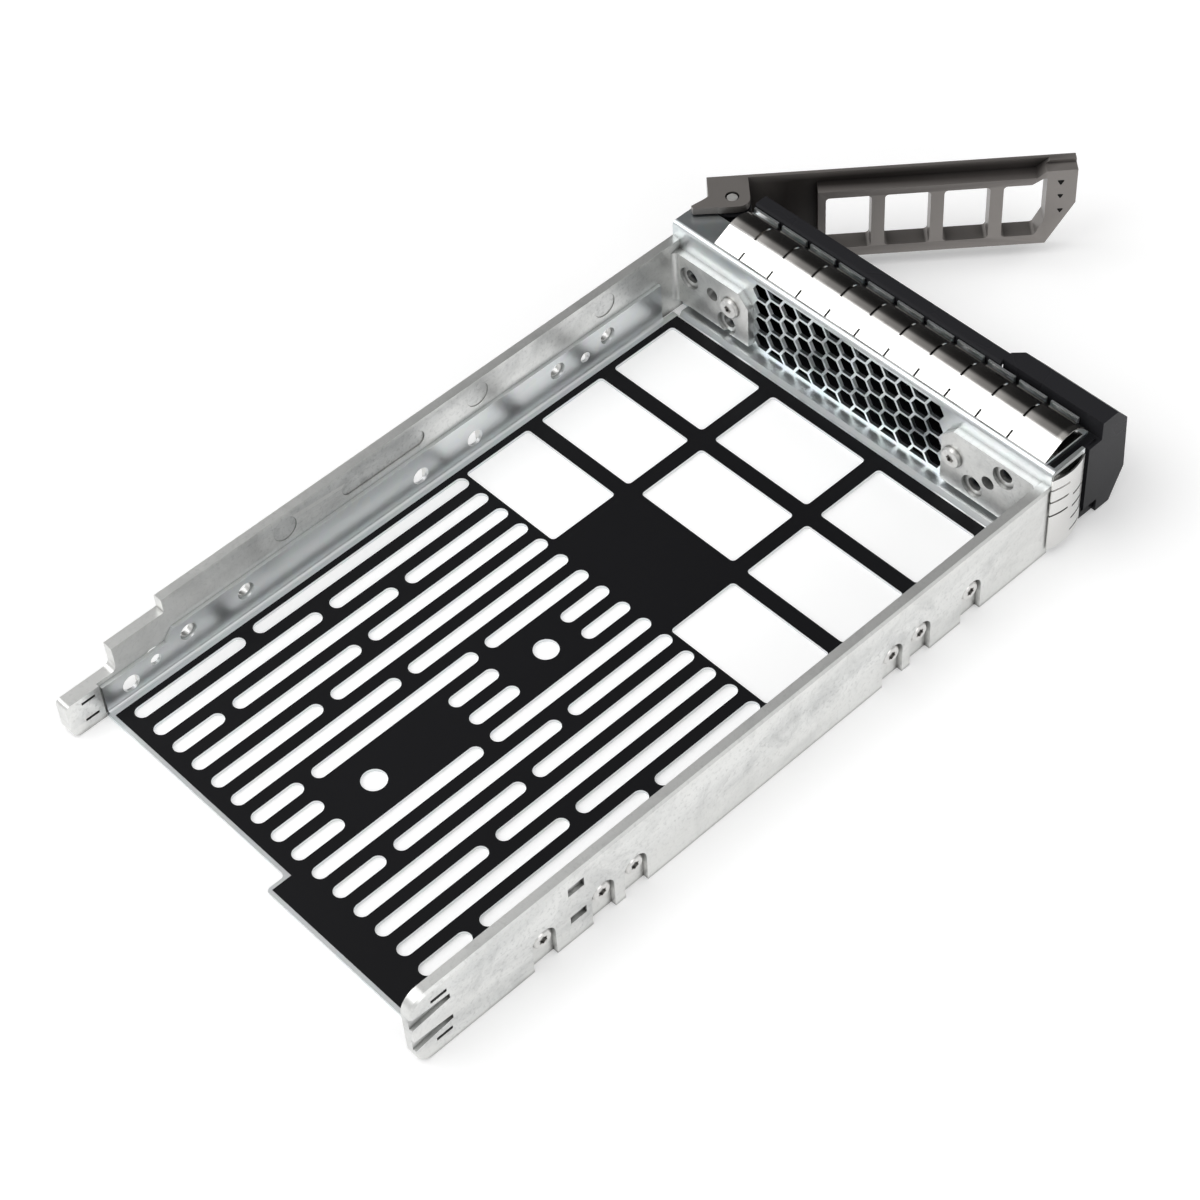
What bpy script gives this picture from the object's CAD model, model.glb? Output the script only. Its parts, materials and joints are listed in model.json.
import bmesh
import bpy
import json
import math
from mathutils import Matrix, Vector


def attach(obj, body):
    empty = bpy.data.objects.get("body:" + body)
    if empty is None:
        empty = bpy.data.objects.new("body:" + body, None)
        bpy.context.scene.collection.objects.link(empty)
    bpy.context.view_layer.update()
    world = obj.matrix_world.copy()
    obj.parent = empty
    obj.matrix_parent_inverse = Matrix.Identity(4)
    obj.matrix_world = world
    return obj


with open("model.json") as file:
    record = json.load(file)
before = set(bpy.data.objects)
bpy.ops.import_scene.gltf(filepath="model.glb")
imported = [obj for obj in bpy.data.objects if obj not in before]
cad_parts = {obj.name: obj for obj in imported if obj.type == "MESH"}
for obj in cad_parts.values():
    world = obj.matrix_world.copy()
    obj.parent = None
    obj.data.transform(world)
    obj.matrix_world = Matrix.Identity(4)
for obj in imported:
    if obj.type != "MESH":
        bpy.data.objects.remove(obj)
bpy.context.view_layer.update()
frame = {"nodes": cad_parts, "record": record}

nodes = frame["nodes"]
MM = 0.001


# ---------------------------------------------------------------------------
# Node-material helpers
# ---------------------------------------------------------------------------
class Look:
    """A procedural material, with short calls for adding its nodes."""

    def __init__(self, name):
        self.mat = bpy.data.materials.new(name)
        self.mat.use_nodes = True
        self.tree = self.mat.node_tree
        self.tree.nodes.clear()
        self.out = self.add("OutputMaterial")
        self.bsdf = self.add("BsdfPrincipled")
        self.link(self.bsdf.outputs[0], self.out.inputs["Surface"])
        self.coord = self.add("TexCoord").outputs["Object"]

    def add(self, kind):
        return self.tree.nodes.new("ShaderNode" + kind)

    def link(self, source, socket):
        self.tree.links.new(source, socket)

    def feed(self, value, socket):
        """Link another node's output, or set a constant on the socket itself."""
        if isinstance(value, bpy.types.NodeSocket):
            self.link(value, socket)
        else:
            socket.default_value = value

    def stretched(self, x, y, z):
        """Object coordinates scaled by axis, which draws a pattern out where the scale is low."""
        node = self.add("Mapping")
        node.inputs["Scale"].default_value = (x, y, z)
        self.link(self.coord, node.inputs["Vector"])
        return node.outputs[0]

    def axes(self):
        """The three object coordinates, in metres."""
        node = self.add("SeparateXYZ")
        self.link(self.coord, node.inputs[0])
        return node.outputs

    def noise(self, scale, detail, rough, where=None, distort=0.0):
        node = self.add("TexNoise")
        node.inputs["Scale"].default_value = scale
        node.inputs["Detail"].default_value = detail
        node.inputs["Roughness"].default_value = rough
        node.inputs["Distortion"].default_value = distort
        self.link(where or self.coord, node.inputs["Vector"])
        return node.outputs["Fac"]

    def crystals(self, scale):
        """Cells of flat colour."""
        node = self.add("TexVoronoi")
        node.inputs["Scale"].default_value = scale
        self.link(self.coord, node.inputs["Vector"])
        return node.outputs["Color"]

    def ramp(self, fac, stops):
        node = self.add("ValToRGB")
        ramp = node.color_ramp
        while len(ramp.elements) < len(stops):
            ramp.elements.new(0.5)
        for element, (place, colour) in zip(ramp.elements, stops):
            element.position = place
            element.color = (*colour, 1.0)
        self.link(fac, node.inputs["Fac"])
        return node.outputs["Color"]

    def span(self, fac, low, high, from_low=0.0, from_high=1.0):
        """The value moved from one range to another and held within it."""
        node = self.add("MapRange")
        node.inputs["From Min"].default_value = from_low
        node.inputs["From Max"].default_value = from_high
        node.inputs["To Min"].default_value = low
        node.inputs["To Max"].default_value = high
        self.link(fac, node.inputs["Value"])
        return node.outputs[0]

    def mix(self, fac, under, over, kind="MIX"):
        node = self.add("Mix")
        node.data_type = "RGBA"
        node.blend_type = kind
        self.feed(fac, node.inputs[0])
        for value, index in ((under, 6), (over, 7)):
            if not isinstance(value, bpy.types.NodeSocket):
                value = (*value, 1.0)
            self.feed(value, node.inputs[index])
        return node.outputs[2]

    def calc(self, kind, first, second=0.0):
        node = self.add("Math")
        node.operation = kind
        self.feed(first, node.inputs[0])
        self.feed(second, node.inputs[1])
        return node.outputs[0]

    def rub(self, under, share, worn):
        """Blend in the worn colour where the surface is convex."""
        bare = self.span(self.add("NewGeometry").outputs["Pointiness"], 0.0, 1.0, 0.52, 0.60)
        return self.mix(self.calc("MULTIPLY", bare, share), under, worn)

    def hollows(self, reach, deepest):
        """One on open faces, falling to the given value in holes and inner corners."""
        node = self.add("AmbientOcclusion")
        node.samples = 8
        node.inputs["Distance"].default_value = reach
        return self.span(node.outputs["AO"], deepest, 1.0, 0.25, 0.85)

    def bump(self, height, strength, distance):
        node = self.add("Bump")
        node.inputs["Strength"].default_value = strength
        node.inputs["Distance"].default_value = distance
        self.link(height, node.inputs["Height"])
        self.link(node.outputs[0], self.bsdf.inputs["Normal"])

    def set(self, **values):
        for key, value in values.items():
            if isinstance(value, tuple):
                value = (*value, 1.0)
            self.feed(value, self.bsdf.inputs[key.replace("_", " ")])


def shade(colour, factor, lift=0.0):
    """The colour made darker or lighter by a factor, then raised by a fixed amount."""
    return tuple(channel * factor + lift for channel in colour)


# ---------------------------------------------------------------------------
# Materials of the caddy
# ---------------------------------------------------------------------------
def film_look():
    """Smooth black film: faint dust, fine grain, soft sheen."""
    look = Look("black_film_look")
    dust = look.noise(2200, 3, 0.6)
    cloud = look.noise(14, 3, 0.5)
    colour = look.ramp(cloud, [(0.25, (0.0042, 0.0042, 0.0052)), (0.8, (0.0062, 0.0062, 0.0078))])
    specks = look.span(dust, 0.0, 0.02, 0.70, 0.80)
    look.set(Base_Color=look.mix(specks, colour, (0.035, 0.035, 0.035)),
             Roughness=look.span(cloud, 0.42, 0.56),
             Specular_IOR_Level=0.16)
    look.bump(look.noise(1500, 3, 0.5), 0.06, 0.05 * MM)
    return look.mat


def sheet_look(name, tone, streak, rough_low, rough_high):
    """Zinc-plated sheet: rolled grain, cloudy plating, small handling marks."""
    look = Look(name)
    grain = look.noise(60, 5, 0.6, where=look.stretched(*streak))
    cloud = look.noise(55, 4, 0.6)
    base = look.ramp(cloud, [(0.25, shade(tone, 0.86)), (0.75, tone)])
    base = look.mix(0.10, base, look.crystals(480), "SOFT_LIGHT")
    base = look.rub(base, 0.5, (0.85, 0.86, 0.86))
    rough = look.calc("ADD", look.span(cloud, rough_low, rough_high), look.span(grain, -0.05, 0.05))
    look.set(Base_Color=base, Metallic=1.0, Roughness=rough)
    look.bump(grain, 0.12, 0.04 * MM)
    return look.mat


def casting_look():
    """Tumbled zinc casting: pale, mottled with cloudy flow marks, matt."""
    look = Look("cast_zinc_look")
    flow = look.noise(26, 6, 0.62, where=look.stretched(1.0, 0.45, 1.6), distort=1.2)
    fine = look.noise(1100, 4, 0.65)
    blotch = look.noise(90, 5, 0.65, distort=0.6)
    streaks = look.noise(70, 5, 0.7, where=look.stretched(1.0, 0.22, 1.0), distort=0.8)
    base = look.ramp(flow, [(0.30, (0.56, 0.57, 0.565)),
                            (0.50, (0.75, 0.755, 0.745)),
                            (0.70, (0.86, 0.862, 0.85))])
    base = look.mix(look.span(blotch, 0.0, 0.55, 0.48, 0.70), base, (0.34, 0.35, 0.35))
    base = look.mix(look.span(streaks, 0.0, 0.40, 0.55, 0.75), base, (0.40, 0.405, 0.40))
    base = look.mix(look.span(fine, 0.0, 0.45, 0.52, 0.70), base, (0.32, 0.325, 0.32))
    base = look.rub(base, 0.6, (0.82, 0.82, 0.80))
    base = look.mix(look.hollows(1.6 * MM, 0.15), (0.06, 0.058, 0.055), base)
    rough = look.calc("ADD", look.span(flow, 0.42, 0.28), look.span(fine, -0.06, 0.08))
    look.set(Base_Color=base, Metallic=0.88, Roughness=rough)
    look.bump(look.calc("ADD", fine, look.calc("MULTIPLY", blotch, 2.0)), 0.22, 0.08 * MM)
    return look.mat


FINGER_PITCH = 8.42 * MM
FINGER_SHIFT = 807.5 * MM             # places a slit of the strip at a whole number of pitches
FINGER_EDGE = (0.13, 0.118, 0.108)
FINGER_MIDDLE = (0.24, 0.222, 0.205)
FINGER_SHINE = (0.52, 0.495, 0.465)
CREST_BAND = (-6.2 * MM, -5.6 * MM)   # Y over which the strip turns from its rear to its front slope
STRIP_END_BAND = (-53 * MM, -52 * MM)  # X over which the short side strip gives way to the top one


def spring_look():
    """Polished spring strip with faint drawn lines, each finger rolled darker on its front slope."""
    look = Look("spring_steel_look")
    lines = look.noise(40, 4, 0.6, where=look.stretched(0.6, 14, 14))
    cloud = look.noise(30, 3, 0.5)
    base = look.ramp(cloud, [(0.3, (0.72, 0.715, 0.70)), (0.7, (0.80, 0.795, 0.78))])
    x, y, _ = look.axes()
    finger = look.calc("FRACT", look.calc("DIVIDE", look.calc("ADD", x, FINGER_SHIFT), FINGER_PITCH))
    rolled = look.ramp(finger, [(0.0, FINGER_EDGE), (0.55, FINGER_MIDDLE),
                                (0.93, FINGER_SHINE), (1.0, FINGER_EDGE)])
    front = look.calc("MULTIPLY", look.span(y, 1.0, 0.0, *CREST_BAND),
                      look.span(x, 0.0, 1.0, *STRIP_END_BAND))
    base = look.mix(look.calc("MULTIPLY", front, 0.8), base, rolled)
    look.set(Base_Color=base, Metallic=1.0, Roughness=look.span(lines, 0.13, 0.24))
    look.bump(lines, 0.05, 0.04 * MM)
    return look.mat


def moulding_look(name, tone, rough):
    """Satin black moulding with a fine spark-eroded grain."""
    look = Look(name)
    grain = look.noise(2600, 2, 0.5)
    cloud = look.noise(35, 3, 0.5)
    base = look.ramp(cloud, [(0.3, shade(tone, 0.8)), (0.7, tone)])
    base = look.rub(base, 0.55, shade(tone, 5, 0.02))
    look.set(Base_Color=base, Roughness=look.span(cloud, rough - 0.05, rough + 0.07),
             Specular_IOR_Level=0.10)
    look.bump(grain, 0.22, 0.03 * MM)
    return look.mat


HINGE_END_BAND = (-66 * MM, -20 * MM)  # Y over which the open handle's coat darkens towards its pin


def handle_look():
    """Thin dark bronze-grey coat over a casting, rubbed lighter on its edges."""
    look = Look("handle_coat_look")
    cloud = look.noise(38, 5, 0.6)
    fine = look.noise(1500, 3, 0.6)
    free_end = look.ramp(cloud, [(0.25, (0.062, 0.055, 0.051)), (0.75, (0.105, 0.095, 0.090))])
    hinge_end = look.ramp(cloud, [(0.25, (0.020, 0.0175, 0.016)), (0.75, (0.042, 0.037, 0.034))])
    freedom = look.span(look.axes()[1], 1.0, 0.0, *HINGE_END_BAND)
    base = look.mix(freedom, hinge_end, free_end)
    base = look.rub(base, 0.8, (0.30, 0.28, 0.265))
    base = look.mix(look.hollows(5.5 * MM, 0.0), (0.004, 0.0036, 0.0034), base)
    rough = look.calc("ADD", look.span(cloud, 0.24, 0.38), look.span(fine, -0.04, 0.05))
    look.set(Base_Color=base, Metallic=0.5, Roughness=rough)
    look.bump(fine, 0.16, 0.04 * MM)
    return look.mat


def turned_look(name, tone, rough):
    """Turned metal: fine grain, worn edges, darker in its hollows."""
    look = Look(name)
    grain = look.noise(700, 3, 0.6)
    base = look.ramp(grain, [(0.3, shade(tone, 0.82)), (0.7, tone)])
    base = look.rub(base, 0.6, (0.9, 0.9, 0.89))
    base = look.mix(look.hollows(1.2 * MM, 0.10), (0.07, 0.065, 0.06), base)
    look.set(Base_Color=base, Metallic=1.0, Roughness=look.span(grain, rough - 0.05, rough + 0.08))
    look.bump(grain, 0.10, 0.03 * MM)
    return look.mat


def socket_look():
    """Dark hollow with a little coat dust in it."""
    look = Look("end_socket_look")
    dust = look.noise(1800, 3, 0.6)
    look.set(Base_Color=look.ramp(dust, [(0.4, (0.004, 0.0038, 0.0036)), (0.8, (0.016, 0.015, 0.014))]),
             Roughness=look.span(dust, 0.45, 0.7),
             Specular_IOR_Level=0.1)
    look.bump(dust, 0.1, 0.03 * MM)
    return look.mat


LOOKS = {
    "zinc_plated_sheet": sheet_look("zinc_plated_look", (0.71, 0.75, 0.76), (1, 0.25, 1), 0.30, 0.42),
    "galvanised_sheet": sheet_look("galvanised_look", (0.70, 0.76, 0.78), (0.2, 1, 1), 0.26, 0.38),
    "black_film": film_look(),
    "cast_zinc": casting_look(),
    "spring_steel": spring_look(),
    "black_plastic": moulding_look("black_plastic_look", (0.0036, 0.0036, 0.0044), 0.27),
    "button_plastic": moulding_look("button_plastic_look", (0.020, 0.020, 0.022), 0.42),
    "handle_coat": handle_look(),
    "pin_steel": turned_look("pin_steel_look", (0.80, 0.78, 0.75), 0.45),
    "spring_wire": turned_look("spring_wire_look", (0.62, 0.62, 0.62), 0.30),
    "screw_steel": turned_look("screw_steel_look", (0.74, 0.73, 0.71), 0.30),
}
slot_of = {entry["node"]: entry["material_slot"] for entry in frame["record"]["subparts"]}
for name, node in nodes.items():
    node.data.materials.clear()
    node.data.materials.append(LOOKS[slot_of[name]])


# ---------------------------------------------------------------------------
# Three small dark sockets on the rear of the handle's free end
# ---------------------------------------------------------------------------
PIVOT = Vector((48.6, -13.0, 0.0))    # the handle's axis, in millimetres
OPEN_ANGLE = 48.9                     # degrees from the closed handle to the one at rest
REAR_FACE = -2.10                     # Y of the closed handle's rear face, from its axis
SOCKET_DEPTH = 0.12                   # half of it stands proud of that face
SOCKETS = ((-72.3, 21.4, 0.95), (-72.4, 17.4, 0.8), (-72.6, 13.2, 0.8))   # X, Z and reach


def pick(shape, kind, wanted):
    """Select only the edges or faces of the piece in edit mode for which wanted says yes."""
    bpy.ops.mesh.select_mode(type=kind)
    bpy.ops.mesh.select_all(action="DESELECT")
    live = bmesh.from_edit_mesh(shape.data)
    for part in (live.edges if kind == "EDGE" else live.faces):
        if wanted(part):
            part.select_set(True)
    bmesh.update_edit_mesh(shape.data)


def model_socket():
    """One dished three-cornered patch with blunt corners, in millimetres, one unit in reach."""
    bpy.ops.object.select_all(action="DESELECT")
    bpy.ops.mesh.primitive_cylinder_add(vertices=3, radius=1.0, depth=SOCKET_DEPTH)
    shape = bpy.context.object
    bpy.ops.object.mode_set(mode="EDIT")
    pick(shape, "EDGE", lambda edge: abs(edge.verts[0].co.z - edge.verts[1].co.z) > 0.1)
    bpy.ops.mesh.bevel(offset=0.30, segments=3, affect="EDGES")
    pick(shape, "FACE", lambda face: face.normal.z > 0.9)
    bpy.ops.mesh.inset(thickness=0.18, depth=0.0)
    bpy.ops.transform.translate(value=(0.0, 0.0, -0.02))
    bpy.ops.object.mode_set(mode="OBJECT")
    shape.data.materials.append(socket_look())
    return shape


to_open_handle = Matrix.Translation(PIVOT) @ Matrix.Rotation(math.radians(OPEN_ANGLE), 4, "Z")
face_rear = Matrix.Rotation(math.radians(-90), 4, "X")
model = model_socket()
for number, (across, up, reach) in enumerate(SOCKETS, 1):
    bpy.ops.object.select_all(action="DESELECT")
    model.select_set(True)
    bpy.context.view_layer.objects.active = model
    bpy.ops.object.duplicate()
    end_socket = bpy.context.object
    end_socket.name = "end_socket_%d" % number
    end_socket.data.name = end_socket.name
    place = to_open_handle @ Matrix.Translation((across, REAR_FACE, up)) @ face_rear
    spread = Matrix.Diagonal((reach, reach, 1.0, 1.0))
    end_socket.matrix_world = Matrix.Scale(MM, 4) @ place @ spread
    bpy.context.view_layer.update()
    bpy.ops.object.transform_apply(location=True, rotation=True, scale=True)
    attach(end_socket, "handle")
bpy.data.objects.remove(model)


# ---------------------------------------------------------------------------
# Floor, room, lamps and camera
# ---------------------------------------------------------------------------
FLOOR_SIZE = 12.0
FLOOR_GLOW = 0.22                     # seen by the camera and in metal, but lights nothing


def floor_look():
    """Matt white paper that the camera and mirrors see as near white, with the shadow kept."""
    look = Look("studio_floor")
    tone = look.ramp(look.noise(3, 2, 0.5), [(0.3, (0.91, 0.91, 0.91)), (0.7, (0.93, 0.93, 0.93))])
    path = look.add("LightPath").outputs
    mirrored = look.calc("MAXIMUM", path["Is Glossy Ray"], path["Is Transmission Ray"])
    seen = look.calc("MAXIMUM", path["Is Camera Ray"], mirrored)
    look.set(Base_Color=tone, Roughness=0.8, Specular_IOR_Level=0.1,
             Emission_Color=(1.0, 1.0, 1.0),
             Emission_Strength=look.calc("MULTIPLY", seen, FLOOR_GLOW))
    return look.mat


bpy.ops.object.select_all(action="DESELECT")
bpy.ops.mesh.primitive_plane_add(size=1.0)
floor = bpy.context.object
floor.name = "studio_floor"
bpy.ops.object.mode_set(mode="EDIT")
bpy.ops.mesh.select_all(action="SELECT")
bpy.ops.transform.resize(value=(FLOOR_SIZE, FLOOR_SIZE, 1.0))
bpy.ops.object.mode_set(mode="OBJECT")
floor.data.materials.append(floor_look())

ROOM_STRENGTH = 0.62
DARK_STRENGTH = 0.03
DARK_TOWARD = (0.505, -0.765, 0.40)   # low beyond the bezel, where the contact strip mirrors it
DARK_RIM = 0.80                       # cosines of the angles where the corner begins
DARK_CORE = 0.90                      # and where it is fully dark

world = bpy.data.worlds.new("studio")
bpy.context.scene.world = world
world.use_nodes = True
room = world.node_tree
backdrop = room.nodes["Background"]
backdrop.inputs["Color"].default_value = (1.0, 1.0, 1.0, 1.0)
view_way = room.nodes.new("ShaderNodeTexCoord")
toward = room.nodes.new("ShaderNodeVectorMath")
toward.operation = "DOT_PRODUCT"
toward.inputs[1].default_value = DARK_TOWARD
room.links.new(view_way.outputs["Generated"], toward.inputs[0])
walls = room.nodes.new("ShaderNodeMapRange")
walls.inputs["From Min"].default_value = DARK_RIM
walls.inputs["From Max"].default_value = DARK_CORE
walls.inputs["To Min"].default_value = ROOM_STRENGTH
walls.inputs["To Max"].default_value = DARK_STRENGTH
room.links.new(toward.outputs["Value"], walls.inputs["Value"])
room.links.new(walls.outputs[0], backdrop.inputs["Strength"])


def area_lamp(name, place, target, wide, tall, power):
    data = bpy.data.lights.new(name, "AREA")
    data.shape = "RECTANGLE"
    data.size = wide
    data.size_y = tall
    data.energy = power
    lamp = bpy.data.objects.new(name, data)
    bpy.context.collection.objects.link(lamp)
    aim = Vector(target) - Vector(place)
    lamp.location = place
    lamp.rotation_euler = aim.to_track_quat("-Z", "Y").to_euler()


area_lamp("key_soft", (0.32, 0.52, 0.85), (0, 0.07, 0), 0.9, 0.75, 4.4)
area_lamp("side_soft", (-0.8, 0.2, 0.45), (0, 0.07, 0), 0.6, 0.4, 1.2)
area_lamp("front_soft", (-0.3, -0.8, 0.5), (0, 0.0, 0), 0.6, 0.4, 0.8)

CAMERA_PLACE = Vector((-0.29144, 0.31853, 0.45048))
CAMERA_RIGHT = Vector((-0.68689, -0.72491, -0.05192))
CAMERA_DOWN = Vector((-0.53063, 0.54905, -0.64573))
CAMERA_FORWARD = Vector((0.4966, -0.41599, -0.7618))

lens = bpy.data.cameras.new("main_view")
lens.sensor_width = 36.0
lens.lens = 86.75
lens.clip_start = 0.01
camera = bpy.data.objects.new("main_view", lens)
bpy.context.collection.objects.link(camera)
turn = Matrix((CAMERA_RIGHT, -CAMERA_DOWN, -CAMERA_FORWARD)).transposed().to_4x4()
camera.matrix_world = Matrix.Translation(CAMERA_PLACE) @ turn
bpy.context.scene.camera = camera
bpy.context.scene.view_settings.view_transform = "Standard"
